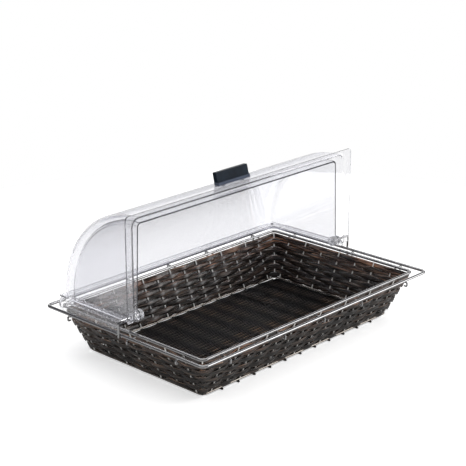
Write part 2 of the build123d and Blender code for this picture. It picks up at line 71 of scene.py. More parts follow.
def scaled(tree, vector, scale):
    """A vector stretched along each axis, so that a texture is drawn out."""
    made = tree.nodes.new("ShaderNodeMapping")
    made.inputs["Scale"].default_value = scale
    tree.links.new(vector, made.inputs["Vector"])
    return made.outputs["Vector"]


def ramp(tree, value, stops):
    """Colour that follows a value through (position, colour) stops."""
    made = tree.nodes.new("ShaderNodeValToRGB")
    tree.links.new(value, made.inputs["Fac"])
    band = made.color_ramp
    band.elements[0].position = stops[0][0]
    band.elements[1].position = stops[-1][0]
    for position, color in stops[1:-1]:
        band.elements.new(position)
    for element, (position, color) in zip(band.elements, stops):
        element.color = (*color, 1)
    return made.outputs["Color"]


def map_range(tree, value, low, high, start=0.0, end=1.0):
    """A value's way from start to end, turned into one from low to high."""
    made = tree.nodes.new("ShaderNodeMapRange")
    tree.links.new(value, made.inputs["Value"])
    made.inputs["From Min"].default_value = start
    made.inputs["From Max"].default_value = end
    made.inputs["To Min"].default_value = low
    made.inputs["To Max"].default_value = high
    return made.outputs["Result"]


def mix_color(tree, factor, first, second, blend="MIX"):
    """Two colours mixed; each of the three inputs is a socket or a plain value."""
    made = tree.nodes.new("ShaderNodeMix")
    made.data_type = "RGBA"
    made.blend_type = blend
    for socket, value in (("Factor", factor), ("A", first), ("B", second)):
        inputs = [i for i in made.inputs if i.name == socket and i.enabled]
        if isinstance(value, bpy.types.NodeSocket):
            tree.links.new(value, inputs[0])
        elif isinstance(value, tuple):
            inputs[0].default_value = (*value, 1)
        else:
            inputs[0].default_value = value
    return [o for o in made.outputs if o.enabled][0]


def bump(tree, shader, height, strength, distance):
    """Fine relief; distance is in metres."""
    made = tree.nodes.new("ShaderNodeBump")
    made.inputs["Strength"].default_value = strength
    made.inputs["Distance"].default_value = distance
    tree.links.new(height, made.inputs["Height"])
    tree.links.new(made.outputs["Normal"], shader.inputs["Normal"])


def place(tree):
    """Position on the piece, in metres."""
    return tree.nodes.new("ShaderNodeTexCoord").outputs["Object"]


def run_map(tree):
    """Place on a strip: along it and across it, in metres."""
    made = tree.nodes.new("ShaderNodeUVMap")
    made.uv_map = "run"
    return made.outputs["UV"]


def math_node(tree, operation, first, second=None):
    """One step of arithmetic on sockets or plain numbers."""
    made = tree.nodes.new("ShaderNodeMath")
    made.operation = operation
    for socket, value in zip(made.inputs, (first, second)):
        if isinstance(value, bpy.types.NodeSocket):
            tree.links.new(value, socket)
        elif value is not None:
            socket.default_value = value
    return made.outputs[0]


def axes(tree, vector):
    """A vector's sockets X, Y and Z."""
    made = tree.nodes.new("ShaderNodeSeparateXYZ")
    tree.links.new(vector, made.inputs[0])
    return made.outputs


# ---------------------------------------------------------------- camera, light and stage

CAMERA_AT = (-1.6335, -1.5179, 0.9483)
CAMERA_AZIMUTH = -46.69
CAMERA_ELEVATION = 18.958
CAMERA_LENS = 108.16

WHITE = (1.0, 1.0, 1.0)
DIFFUSE_SKY = 0.62  # the sky's strength where it lights matt surfaces
ROOM_BY_HEIGHT = [  # the room that mirrors and glass show, by the sine of the angle up
    (0.0, (0.14, 0.14, 0.15)),
    (0.70, (0.07, 0.07, 0.08)),
    (0.80, (1.0, 1.0, 1.0)),
]
BACKDROP_TOWARDS = (0.73, 0.68, 0.0)  # a white backdrop stands on this side of the room
BACKDROP_IN_MIRRORS = (0.72, 0.88)  # cosines between which its edge fades, for mirrors
BACKDROP_IN_GLASS = (0.0, 0.2)  # and, much wider, for rays through the clear shells
CARD_TOWARDS = (0.70, -0.70, 0.14)  # a bright card stands on this side of the room
CARD_EDGE = (0.95, 0.98)
CARD_LEVEL = (3.8, 3.8, 3.8)
CLEAR_BELOW = 0.02  # rays through the clear shells see white below this sine
FLOOR_RADIUS = 1.0
FLOOR_COLOR = (0.82, 0.82, 0.82)
FLOOR_IN_MIRRORS = (0.55, 0.55, 0.55)
FLOOR_FILL = 0.5  # glow of the floor for the camera and glass alone, so that it reads white
LAMP_TARGET = (0, 0, 0.1)


def make_camera():
    data = bpy.data.cameras.new("camera")
    data.sensor_fit = "HORIZONTAL"
    data.sensor_width = 36.0
    data.lens = CAMERA_LENS
    data.clip_end = 30.0
    camera = bpy.data.objects.new("camera", data)
    camera.location = CAMERA_AT
    camera.rotation_euler = (math.radians(90 - CAMERA_ELEVATION), 0, math.radians(CAMERA_AZIMUTH))
    bpy.context.scene.collection.objects.link(camera)
    bpy.context.scene.camera = camera


def towards(tree, direction, aim, edge):
    """0 to 1 as a direction turns towards another, between two cosines."""
    product = tree.nodes.new("ShaderNodeVectorMath")
    product.operation = "DOT_PRODUCT"
    product.inputs[1].default_value = Vector(aim).normalized()
    tree.links.new(direction, product.inputs[0])
    return map_range(tree, product.outputs["Value"], 0.0, 1.0, *edge)


def make_world():
    """White straight on; mirrors find a darker room, glass a room with one white side."""
    world = bpy.data.worlds.new("world")
    bpy.context.scene.world = world
    world.use_nodes = True
    tree = world.node_tree
    background = tree.nodes["Background"]
    path = tree.nodes.new("ShaderNodeLightPath").outputs
    glass = path["Is Transmission Ray"]
    shown = math_node(tree, "MAXIMUM", path["Is Camera Ray"], path["Is Glossy Ray"])
    shown = math_node(tree, "MAXIMUM", shown, glass)
    direction = tree.nodes.new("ShaderNodeTexCoord").outputs["Generated"]
    height = axes(tree, direction)["Z"]
    room = ramp(tree, height, ROOM_BY_HEIGHT)
    mirrored = towards(tree, direction, BACKDROP_TOWARDS, BACKDROP_IN_MIRRORS)
    refracted = towards(tree, direction, BACKDROP_TOWARDS, BACKDROP_IN_GLASS)
    refracted = math_node(tree, "MULTIPLY", refracted, glass)
    backdrop = math_node(tree, "MAXIMUM", refracted, mirrored)
    room = mix_color(tree, backdrop, room, WHITE)
    room = mix_color(tree, towards(tree, direction, CARD_TOWARDS, CARD_EDGE), room, CARD_LEVEL)
    below = math_node(tree, "LESS_THAN", height, CLEAR_BELOW)
    through = math_node(tree, "MULTIPLY", below, glass)
    white = math_node(tree, "MAXIMUM", through, path["Is Camera Ray"])
    straight = mix_color(tree, white, room, WHITE)
    level = mix_color(tree, shown, (DIFFUSE_SKY,) * 3, straight)
    tree.links.new(level, background.inputs["Color"])
    background.inputs["Strength"].default_value = 1.0


def area_light(name, at, size, power):
    """A soft lamp aimed at the object, which mirrors don't show."""
    data = bpy.data.lights.new(name, "AREA")
    data.shape = "RECTANGLE"
    data.size = size[0]
    data.size_y = size[1]
    data.energy = power
    lamp = bpy.data.objects.new(name, data)
    lamp.location = at
    lamp.rotation_euler = (Vector(LAMP_TARGET) - Vector(at)).to_track_quat("-Z", "Y").to_euler()
    lamp.visible_glossy = False
    bpy.context.scene.collection.objects.link(lamp)


def make_floor():
    """Pale counter that takes the object's shadow, and looks darker in mirrors."""
    disc = bmesh.new()
    bmesh.ops.create_circle(disc, cap_ends=True, radius=FLOOR_RADIUS, segments=96)
    mesh = bpy.data.meshes.new("stage_floor")
    disc.to_mesh(mesh)
    disc.free()
    floor = bpy.data.objects.new("stage_floor", mesh)
    bpy.context.scene.collection.objects.link(floor)
    material, tree, shader = new_material("stage_floor", FLOOR_COLOR, 0.9)
    shader.inputs["Specular IOR Level"].default_value = 0.0
    path = tree.nodes.new("ShaderNodeLightPath").outputs
    glass = path["Is Transmission Ray"]
    mirrored = math_node(tree, "GREATER_THAN", path["Is Glossy Ray"], glass)
    pale = mix_color(tree, mirrored, FLOOR_COLOR, FLOOR_IN_MIRRORS)
    tree.links.new(pale, shader.inputs["Base Color"])
    straight = math_node(tree, "MAXIMUM", path["Is Camera Ray"], glass)
    fill = math_node(tree, "MULTIPLY", straight, FLOOR_FILL)
    tree.links.new(fill, shader.inputs["Emission Strength"])
    shader.inputs["Emission Color"].default_value = (*WHITE, 1)
    mesh.materials.append(material)


def make_stage():
    bpy.context.scene.view_settings.view_transform = "Standard"
    make_camera()
    make_world()
    make_floor()
    area_light("key", at=(1.3, -1.5, 1.9), size=(1.4, 1.4), power=26)
    area_light("top", at=(-0.2, 0.5, 2.1), size=(1.6, 1.2), power=12)


# ---------------------------------------------------------------- materials

FOOT_FADE = (5.5 * MM, 6.5 * MM)  # the handle's grey foot ends between these heights
FOOT_COLOR = (0.085, 0.10, 0.14)
CLARITY = 0.96  # transmitted share of the clear shells; the rest is a faint milkiness
FITTING_CLARITY = 0.80  # the caps and spacers are milkier
PLASTIC_IOR = 1.49
LAMP_THROUGH = (0.86, 0.87, 0.89)  # what a clear wall lets through of a lamp's light
CLEAR_EDGE_SHADE_BY_FACING = [  # painted shade: colour of the clear plastic from face on to edge on, going dark edge on
    (0.0, (1.0, 1.0, 1.0)),
    (0.76, (0.99, 0.99, 1.0)),
    (0.87, (0.50, 0.50, 0.58)),
    (0.93, (0.04, 0.04, 0.06)),
    (1.0, (0.01, 0.01, 0.02)),
]
STRIP_EDGE_HIGHLIGHT = [  # painted highlight: tint of a woven strip from its middle to its edge, much lighter at the edge
    (0.0, (1.0, 1.0, 1.0)),
    (0.70, (0.85, 0.85, 0.85)),
    (0.84, (2.4, 2.2, 2.0)),
    (1.0, (2.4, 2.2, 2.0)),
]
STRIP_HALF = 4.5 * MM  # where the painted edge highlight ends, past a strip's edge
STRIP_SHIFT = 20 * MM  # the map of a strip's inner face lies this far across from the outer's
WARM_AND_LIT_TOP = 90 * MM  # where the warm tone and painted light by height end, above the rim
WARM_AND_LIT_BY_HEIGHT = [  # tint of the woven strips from the foot of the wall to the rim: a warmer tone and painted light, much lighter on the upper rows
    (0.0, (1.1, 1.02, 0.98)),
    (0.55, (1.0, 0.98, 0.96)),
    (0.72, (2.6, 1.9, 1.5)),
    (1.0, (3.6, 2.5, 1.9)),
]
MAT_HALF = 2.0 * MM  # where the painted middle highlight and edge shade end, just past a floor strip's edge
MAT_MIDDLE_LIGHT_EDGE_SHADE = [  # painted light and shade of a floor strip from its middle to its edge: a painted highlight along the middle, painted shade going black at the edges
    (0.0, (0.070, 0.063, 0.060)),
    (0.5, (0.045, 0.040, 0.038)),
    (0.8, (0.003, 0.003, 0.003)),
]
MAT_SECOND = (0.004, 0.0035, 0.0035)  # every second floor strip is near black
MAT_SHIFT = 0.1  # and is told apart by a map that lies this many metres across
MAT_ROD_LIGHT_AND_SHADE = [  # painted light and shade of a floor strip from midway between two cross rods to over one: lighter midway, painted shade with a bluish painted sheen over a rod
    (0.0, (1.35, 1.3, 1.25)),
    (0.5, (0.8, 0.8, 0.8)),
    (0.9, (0.08, 0.09, 0.12)),
]
CROSS_RODS = 11


def cross_rod_pitch():
    """Distance between two neighbouring rods under the floor."""
    low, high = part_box("floor_cross_rods")
    return 2 * (high.x - (high.z - low.z) / 2) / (CROSS_RODS - 1)


def chrome_material(name, dark, light):
    """Bright plating, its tint and its shine a little uneven."""
    material, tree, shader = new_material(name, light, 0.1, 1.0)
    haze = noise(tree, place(tree), 220.0, detail=4.0)
    tree.links.new(map_range(tree, haze, 0.02, 0.09), shader.inputs["Roughness"])
    tint = noise(tree, place(tree), 35.0)
    color = ramp(tree, tint, [(0.3, dark), (0.7, light)])
    tree.links.new(color, shader.inputs["Base Color"])
    bump(tree, shader, haze, 0.1, 0.01 * MM)
    return material


def rib_material():
    """The upright wires, paler and duller than the loops: their pale cream colour is a painted
    highlight for the bright glints of the wires.
    """
    material, tree, shader = new_material("rib_painted_bright", (0.80, 0.75, 0.68), 0.3, 0.2)
    wear = noise(tree, scaled(tree, place(tree), (300.0, 300.0, 90.0)), 1.0, detail=4.0)
    # painted highlight: a pale cream colour in place of the wires' bright glints
    color = ramp(tree, wear, [(0.3, (0.86, 0.82, 0.76)), (0.5, (1.0, 0.98, 0.95))])
    tree.links.new(color, shader.inputs["Base Color"])
    tree.links.new(map_range(tree, wear, 0.2, 0.42), shader.inputs["Roughness"])
    bump(tree, shader, wear, 0.2, 0.03 * MM)
    return material


def strip_material(name, dark, middle, light, rough, streaks):
    """Glossy brown plastic strip with grain drawn out along it, a painted highlight along its edges
    and painted light on its upper rows.

    streaks is how many grain lines there are in a metre across the strip.
    """
    material, tree, shader = new_material(name, middle, rough)
    run = run_map(tree)
    grain = noise(tree, scaled(tree, run, (17.0, streaks, 1.0)), 1.0, detail=5.0, rough=0.6)
    broad = noise(tree, scaled(tree, run, (9.0, 90.0, 1.0)), 1.0, detail=2.0)
    hair = noise(tree, scaled(tree, run, (60.0, streaks * 4.5, 1.0)), 1.0, detail=3.0)
    color = ramp(tree, grain, [(0.38, dark), (0.53, middle), (0.68, light)])
    patches = [(0.35, (0.62, 0.68, 0.70)), (0.5, (1.0, 0.96, 0.9)), (0.68, (1.35, 1.08, 0.9))]
    warm = ramp(tree, broad, patches)
    color = mix_color(tree, 0.75, color, warm, "MULTIPLY")
    # a warmer tone and painted light: the upper rows are made much lighter
    height = map_range(tree, axes(tree, place(tree))["Z"], 0.0, 1.0, 0.0, WARM_AND_LIT_TOP)
    color = mix_color(tree, 1.0, color, ramp(tree, height, WARM_AND_LIT_BY_HEIGHT), "MULTIPLY")
    # painted highlight: the colour is lifted towards both edges of the strip
    side = math_node(tree, "PINGPONG", axes(tree, run)["Y"], STRIP_SHIFT / 2)
    edge_highlight = ramp(tree, map_range(tree, side, 0.0, 1.0, 0.0, STRIP_HALF), STRIP_EDGE_HIGHLIGHT)
    color = mix_color(tree, 1.0, color, edge_highlight, "MULTIPLY")
    tree.links.new(color, shader.inputs["Base Color"])
    shader.inputs["Specular IOR Level"].default_value = 0.7
    tree.links.new(map_range(tree, grain, rough - 0.08, rough + 0.14), shader.inputs["Roughness"])
    bump(tree, shader, math_node(tree, "ADD", grain, hair), 0.5, 0.04 * MM)
    return material


def mat_material():
    """Floor strips: painted shade going black at their edges, a painted highlight along their
    middles, painted shade with a bluish painted sheen over each cross rod.
    """
    material, tree, shader = new_material("mat_brown", (0.02, 0.015, 0.012), 0.4)
    shader.inputs["Specular IOR Level"].default_value = 0.12
    run = run_map(tree)
    grain = noise(tree, scaled(tree, run, (30.0, 700.0, 1.0)), 1.0, detail=5.0, rough=0.6)
    across = axes(tree, run)["Y"]
    # painted highlight along each strip's middle and painted shade at its edges
    side = math_node(tree, "PINGPONG", across, MAT_SHIFT / 2)
    lit_middle_shaded_edge = ramp(tree, map_range(tree, side, 0.0, 1.0, 0.0, MAT_HALF), MAT_MIDDLE_LIGHT_EDGE_SHADE)
    second = math_node(tree, "GREATER_THAN", across, MAT_SHIFT / 2)
    lit_middle_shaded_edge = mix_color(tree, second, lit_middle_shaded_edge, MAT_SECOND)
    wear = [(0.3, (0.35, 0.34, 0.34)), (0.55, (1.0, 0.95, 0.9)), (0.72, (2.2, 1.7, 1.3))]
    color = mix_color(tree, 1.0, lit_middle_shaded_edge, ramp(tree, grain, wear), "MULTIPLY")
    broad = noise(tree, scaled(tree, place(tree), (3.0, 16.0, 1.0)), 1.0, detail=2.0)
    patches = [(0.35, (0.45, 0.48, 0.54)), (0.52, (0.8, 0.76, 0.72)), (0.66, (1.5, 1.15, 0.85))]
    color = mix_color(tree, 1.0, color, ramp(tree, broad, patches), "MULTIPLY")
    # painted light midway between cross rods, painted shade and a bluish painted sheen over each
    # rod
    length = axes(tree, place(tree))["X"]
    turn = math_node(tree, "MULTIPLY", length, 2 * math.pi / cross_rod_pitch())
    wave = math_node(tree, "COSINE", turn)
    band = ramp(tree, map_range(tree, wave, 0.0, 1.0, -1.0, 1.0), MAT_ROD_LIGHT_AND_SHADE)
    color = mix_color(tree, 1.0, color, band, "MULTIPLY")
    tree.links.new(color, shader.inputs["Base Color"])
    tree.links.new(map_range(tree, grain, 0.3, 0.5), shader.inputs["Roughness"])
    bump(tree, shader, grain, 0.4, 0.04 * MM)
    return material


def rod_material():
    """Dark brown rod under the floor, its grain drawn out along it."""
    material, tree, shader = new_material("dark_rod", (0.02, 0.015, 0.013), 0.35)
    grain = noise(tree, scaled(tree, place(tree), (600.0, 40.0, 600.0)), 1.0, detail=4.0)
    color = ramp(tree, grain, [(0.3, (0.010, 0.008, 0.007)), (0.7, (0.045, 0.032, 0.026))])
    tree.links.new(color, shader.inputs["Base Color"])
    bump(tree, shader, grain, 0.4, 0.05 * MM)
    return material


def clear_material(name, tint, density, ripple, haze, clarity):
    """Clear moulded plastic that lamps shine through, with painted shade where it is seen edge on.

    tint and density are of what it absorbs, and clarity is the share it transmits.
    """
    material, tree, shader = new_material(name, (0.98, 0.98, 1.0), haze)
    shader.inputs["Transmission Weight"].default_value = clarity
    # painted shade: the colour darkens where the surface is seen edge on
    edge = tree.nodes.new("ShaderNodeLayerWeight")
    edge.inputs["Blend"].default_value = 0.5
    tree.links.new(ramp(tree, edge.outputs["Facing"], CLEAR_EDGE_SHADE_BY_FACING), shader.inputs["Base Color"])
    shader.inputs["IOR"].default_value = PLASTIC_IOR
    wave = noise(tree, place(tree), 22.0, detail=1.5)
    fine = noise(tree, place(tree), 400.0, detail=2.0)
    tree.links.new(map_range(tree, fine, 0.0, haze), shader.inputs["Roughness"])
    bump(tree, shader, wave, ripple, 2 * MM)
    output = tree.nodes["Material Output"]
    path = tree.nodes.new("ShaderNodeLightPath")
    through = tree.nodes.new("ShaderNodeBsdfTransparent")
    through.inputs["Color"].default_value = (*LAMP_THROUGH, 1)
    either = tree.nodes.new("ShaderNodeMixShader")
    tree.links.new(path.outputs["Is Shadow Ray"], either.inputs[0])
    tree.links.new(shader.outputs[0], either.inputs[1])
    tree.links.new(through.outputs[0], either.inputs[2])
    tree.links.new(either.outputs[0], output.inputs["Surface"])
    absorb = tree.nodes.new("ShaderNodeVolumeAbsorption")
    absorb.inputs["Color"].default_value = (*tint, 1)
    absorb.inputs["Density"].default_value = density
    tree.links.new(absorb.outputs[0], output.inputs["Volume"])
    return material


def handle_material():
    """Dark navy plastic, greyer along the foot that sits on the shell."""
    material, tree, shader = new_material("navy_plastic", (0.006, 0.011, 0.02), 0.3)
    cloud = noise(tree, place(tree), 60.0)
    color = ramp(tree, cloud, [(0.3, (0.004, 0.008, 0.015)), (0.7, (0.009, 0.016, 0.027))])
    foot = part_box("handle")[0].z
    start, end = (foot + height for height in FOOT_FADE)
    low = map_range(tree, axes(tree, place(tree))["Z"], 1.0, 0.0, start, end)
    color = mix_color(tree, low, color, FOOT_COLOR)
    tree.links.new(color, shader.inputs["Base Color"])
    grain = noise(tree, place(tree), 900.0, detail=4.0)
    shader.inputs["Specular IOR Level"].default_value = 0.08
    tree.links.new(map_range(tree, grain, 0.28, 0.46), shader.inputs["Roughness"])
    bump(tree, shader, grain, 0.12, 0.1 * MM)
    return material


def screw_material():
    """Plain steel, finely brushed by wear."""
    material, tree, shader = new_material("screw_steel", (0.55, 0.55, 0.56), 0.3, 1.0)
    rings = noise(tree, place(tree), 700.0, detail=4.0)
    tree.links.new(map_range(tree, rings, 0.2, 0.42), shader.inputs["Roughness"])
    bump(tree, shader, rings, 0.2, 0.05 * MM)
    return material


# ---------------------------------------------------------------- mesh helpers

ROUND_END = ((0.4, 0.92), (0.77, 0.64), (0.97, 0.24))  # how far out and how wide, in radii


def keep(mesh, name, material, slot, *replaced, body="basket"):
    """Turn a bmesh into a smooth-shaded piece that rides on a body."""
    bmesh.ops.recalc_face_normals(mesh, faces=mesh.faces)
    data = bpy.data.meshes.new(name)
    mesh.to_mesh(data)
    mesh.free()
    data.polygons.foreach_set("use_smooth", [True] * len(data.polygons))
    data.materials.append(material)
    piece = bpy.data.objects.new(name, data)
    bpy.context.scene.collection.objects.link(piece)
    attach(piece, body)
    if replaced:
        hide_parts(*replaced)


def join_rings(mesh, rings, closed):
    """Faces between rings of as many points each."""
    sides = len(rings[0])
    spans = len(rings) if closed else len(rings) - 1
    for i in range(spans):
        here = rings[i]
        there = rings[(i + 1) % len(rings)]
        for k in range(sides):
            mesh.faces.new((here[k], here[(k + 1) % sides], there[(k + 1) % sides], there[k]))


def add_ring(mesh, middle, first, second, radius, sides):
    """Points of a circle in the plane of two directions."""
    ring = []
    for k in range(sides):
        turn = 2 * math.pi * k / sides
        spoke = math.cos(turn) * first + math.sin(turn) * second
        ring.append(mesh.verts.new(middle + radius * spoke))
    return ring


def add_tube(mesh, points, radius, normal, closed=False, sides=14):
    """Round wire along a path that lies in one plane, its ends rounded over."""
    normal = Vector(normal).normalized()
    count = len(points)
    rings = []
    for i, point in enumerate(points):
        before = points[i - 1] if closed or i > 0 else point
        after = points[(i + 1) % count] if closed or i < count - 1 else point
        along = (after - before).normalized()
        across = normal.cross(along)
        if not closed and i == 0:
            rings += [
                add_ring(mesh, point - along * radius * s, normal, across, radius * c, sides)
                for s, c in reversed(ROUND_END)
            ]
        rings.append(add_ring(mesh, point, normal, across, radius, sides))
        if not closed and i == count - 1:
            rings += [
                add_ring(mesh, point + along * radius * s, normal, across, radius * c, sides)
                for s, c in ROUND_END
            ]
    join_rings(mesh, rings, closed)
    if not closed:
        mesh.faces.new(rings[0])
        mesh.faces.new(rings[-1])


def bend(points, radii, steps=7):
    """A path of straight runs with round bends at its inner corners."""
    path = [points[0]]
    for i in range(1, len(points) - 1):
        corner = points[i]
        back = (points[i - 1] - corner).normalized()
        ahead = (points[i + 1] - corner).normalized()
        half = back.angle(ahead) / 2
        reach = radii[i - 1] / math.tan(half)
        middle = corner + (back + ahead).normalized() * radii[i - 1] / math.sin(half)
        start = corner + back * reach - middle
        end = corner + ahead * reach - middle
        turn = start.angle(end)
        for k in range(steps + 1):
            t = k / steps
            blend = start * math.sin((1 - t) * turn) + end * math.sin(t * turn)
            path.append(middle + blend / math.sin(turn))
    path.append(points[-1])
    return path


def rounded_loop(half_x, half_y, z, corner, steps=10):
    """Closed path of a rectangular wire loop with round corners."""
    path = []
    for sx, sy, start in ((1, -1, -90), (1, 1, 0), (-1, 1, 90), (-1, -1, 180)):
        for k in range(steps + 1):
            turn = math.radians(start + 90 * k / steps)
            x = sx * (half_x - corner) + corner * math.cos(turn)
            y = sy * (half_y - corner) + corner * math.sin(turn)
            path.append(Vector((x, y, z)))
    return path


def spread(count, pitch):
    """Places a pitch apart, centred on zero."""
    return [pitch * (i - (count - 1) / 2) for i in range(count)]


# ---------------------------------------------------------------- wire frame


def loop_size(name):
    """Half length, half width, height and wire radius of a loop's middle line."""
    low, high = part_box(name)
    radius = (high.z - low.z) / 2
    return high.x - radius, high.y - radius, (low.z + high.z) / 2, radius


LOOP_CORNER = 9 * MM
BASE_CORNER = 8 * MM
RIB_RADIUS = 1.5 * MM
RIB_NECK = 0.72  # an upright wire is drawn at this share of its CAD width
LONG_RIBS = 14
SHORT_RIBS = 7
RIM_X, RIM_Y, RIM_Z, ROD_RADIUS = loop_size("rim_rod")
OUTER_X, OUTER_Y, OUTER_Z, _ = loop_size("outer_rod")
BASE_X, BASE_Y, BASE_Z, BASE_RADIUS = loop_size("base_rod")
FLARE = (RIM_X - BASE_X) / (RIM_Z - BASE_Z)  # a wall leans out by this share of its height
LEAN = math.atan(FLARE)
LONG_PITCH = 2 * (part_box("long_wall_ribs")[1].x - RIB_RADIUS) / (LONG_RIBS - 1)
SHORT_PITCH = 2 * (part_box("short_wall_ribs")[1].y - RIB_RADIUS) / (SHORT_RIBS - 1)
LONG_PLACES = spread(LONG_RIBS, LONG_PITCH)
SHORT_PLACES = spread(SHORT_RIBS, SHORT_PITCH)
CORNER_INSET = 2.6 * MM  # a corner wire stands this far in from both walls' middle planes


def half_length(z):
    """Half of the basket's length at a height, on the middle of the weave."""
    return BASE_X + FLARE * (z - BASE_Z)


def half_width(z):
    """Half of its width there."""
    return BASE_Y + FLARE * (z - BASE_Z)


def make_loops(chrome, base):
    """The three closed wires: two at the top and one at the foot of the walls."""
    loops = (
        ("rim_rod", RIM_X, RIM_Y, RIM_Z, LOOP_CORNER, ROD_RADIUS),
        ("outer_rod", OUTER_X, OUTER_Y, OUTER_Z, LOOP_CORNER, ROD_RADIUS),
        ("base_rod", BASE_X, BASE_Y, BASE_Z, BASE_CORNER, BASE_RADIUS),
    )
    for name, half_x, half_y, z, corner, radius in loops:
        mesh = bmesh.new()
        path = rounded_loop(half_x, half_y, z, corner)
        add_tube(mesh, path, radius, (0, 0, 1), closed=True, sides=20)
        # the base rod takes the chrome with painted shade and a painted brown reflection
        keep(mesh, name + "_wire", base if name == "base_rod" else chrome, "chromed_wire", name)


def make_ribs(bright_rib):
    """The upright wires of the four walls and the four corners."""
    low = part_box("long_wall_ribs")[0].z
    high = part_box("long_wall_ribs")[1].z - RIB_RADIUS
    mesh = bmesh.new()
    for side in (-1, 1):
        for x in LONG_PLACES:
            foot = Vector((x, side * half_width(low), low))
            top = Vector((x, side * half_width(high), high))
            add_tube(mesh, [foot, top], RIB_NECK * RIB_RADIUS, (1, 0, 0))
    keep(mesh, "long_wall_wires", bright_rib, "chromed_wire", "long_wall_ribs")
    mesh = bmesh.new()
    for side in (-1, 1):
        for y in SHORT_PLACES:
            foot = Vector((side * half_length(low), y, low))
            top = Vector((side * half_length(high), y, high))
            add_tube(mesh, [foot, top], RIB_NECK * RIB_RADIUS, (0, 1, 0))
    keep(mesh, "short_wall_wires", bright_rib, "chromed_wire", "short_wall_ribs")
    mesh = bmesh.new()
    for side in (-1, 1):
        for end in (-1, 1):
            run = []
            for z in (low, high):
                x = half_length(z) - CORNER_INSET
                y = half_width(z) - CORNER_INSET
                run.append(Vector((end * x, side * y, z)))
            add_tube(mesh, run, RIB_NECK * RIB_RADIUS, (end, -side, 0))
    keep(mesh, "corner_wires", bright_rib, "chromed_wire", "corner_ribs")


LONG_TIES = [x * MM for x in (-222, -97, 0, 97, 222)]
SHORT_TIES = [y * MM for y in (-125, -16, 125)]
TIE_CURL = 5 * MM  # how far a tie's hook reaches back in
TIE_BEND = 2.2 * MM
TIE_START = 1.3 * MM  # a tie starts this far out of the rim's middle line


def make_ties(chrome):
    """Short wires from under the rim out past the outer rod, each ending in a hook."""
    low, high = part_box("loop_ties")
    radius = RIB_RADIUS
    level = high.z - radius
    heel = low.z + radius
    mesh = bmesh.new()

    def run(start, end):
        out = 1 if end > 0 else -1
        toe = end - out * TIE_CURL
        return [(start, level), (end, level), (end, heel), (toe, heel)]

    radii = [TIE_BEND, TIE_BEND]
    for side in (-1, 1):
        outline = run(side * (RIM_Y + TIE_START), side * (high.y - radius))
        for x in LONG_TIES:
            add_tube(mesh, bend([Vector((x, y, z)) for y, z in outline], radii), radius, (1, 0, 0))
        outline = run(side * (RIM_X + TIE_START), side * (high.x - radius))
        for y in SHORT_TIES:
            add_tube(mesh, bend([Vector((x, y, z)) for x, z in outline], radii), radius, (0, 1, 0))
    keep(mesh, "tie_hooks", chrome, "chromed_wire", "loop_ties")


BRACKET_BEND = 5 * MM


def make_brackets(chrome):
    """The wires at both ends that rise to the pivot and turn in as its pin."""
    for side, name in ((-1, "pivot_bracket_left"), (1, "pivot_bracket_right")):
        low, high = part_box(name)
        radius = (high.y - low.y) / 2
        outer = (high.x if side > 0 else low.x) - side * radius
        inner = low.x if side > 0 else high.x
        pin = high.z - radius
        run = [
            Vector((outer, 0, low.z + radius)),
            Vector((outer, 0, pin)),
            Vector((inner + side * radius, 0, pin)),
        ]
        mesh = bmesh.new()
        add_tube(mesh, bend(run, [BRACKET_BEND]), radius, (0, 1, 0), sides=20)
        keep(mesh, name + "_wire", chrome, "chromed_wire", name)


# ---------------------------------------------------------------- weave

ROWS = 10
WEAVE_SEED = 11
ROW_LAP = 0.12 * MM  # rows are this much higher than their pitch
ROW_SHIFT = 7.3  # metres between the maps of two rows, so that their grain differs
STRIP_THICK = 1.5 * MM
STRIP_EDGE = 0.55 * MM
STRIP_STEP = 2.6 * MM  # distance between two cuts of a drawn strip
OUT_SWING = 2.3 * MM  # how far a strip's middle passes a wire on the outside
IN_SWING = 2.1 * MM  # and on the inside
SWING_SPREAD = (0.9, 1.12)  # shares of that swing, picked at random for each wire
OUT_TURN = 1.2 * MM  # outside a corner wire the strip starts to turn this far before it
OUT_ROUND = 0.78  # and passes it by this share of its swing from both walls
IN_TURN = (4.4 * MM, 0.9 * MM)  # inside one it starts this far before it and this far in
IN_ROUND = 1.95 * MM  # and passes it this far in from both walls
STRIP_SWELL = 0.32  # a strip is this much wider where it passes a rib than between two
CORNER_WIDE = 0.8  # and this much where it wraps a corner on the outside
CORNER_REACH = 13 * MM  # over this distance from the corner wire
CORNER_RISE = 1.6  # how fast it grows towards the wire
TOP_RISE = 0.38  # the top row reaches this much further up, to the rim
TILT = 0.05  # a strip leans in and out by up to this slope along its run
TILT_WAVE = 41  # radians in a metre
LIFT = 0.16 * MM  # and rises and sinks by up to this
LIFT_WAVE = 67
WHOLE_TURN = 6.28  # radians; such a wave starts at random within one turn


def strip_section(width, thick, edge, sides=6):
    """Outline of a strip cut across: (along its width, out of its face) pairs."""
    top = []
    for k in range(sides + 1):
        across = -1 + 2 * k / sides
        swell = edge / 2 + (thick - edge) / 2 * (1 - across * across)
        top.append((across * width / 2, swell))
    return top + [(a, -b) for a, b in reversed(top)]


def smooth_closed(points, step):
    """Closed curve through the points, with a point about every step."""
    path = []
    count = len(points)
    for i in range(count):
        p0, p1, p2, p3 = (points[(i + k) % count] for k in (-1, 0, 1, 2))
        gap = (p2 - p1).length
        before = (p1 - p0).length ** 0.5
        here = gap**0.5
        after = (p3 - p2).length ** 0.5
        m1 = (p2 - p1) + here * ((p1 - p0) / before - (p2 - p0) / (before + here))
        m2 = (p2 - p1) + here * ((p3 - p2) / after - (p3 - p1) / (here + after))
        parts = max(1, round(gap / step))
        for k in range(parts):
            t = k / parts
            a = 2 * t**3 - 3 * t**2 + 1
            b = t**3 - 2 * t**2 + t
            c = -2 * t**3 + 3 * t**2
            d = t**3 - t**2
            path.append(a * p1 + b * m1 + c * p2 + d * m2)
    return path


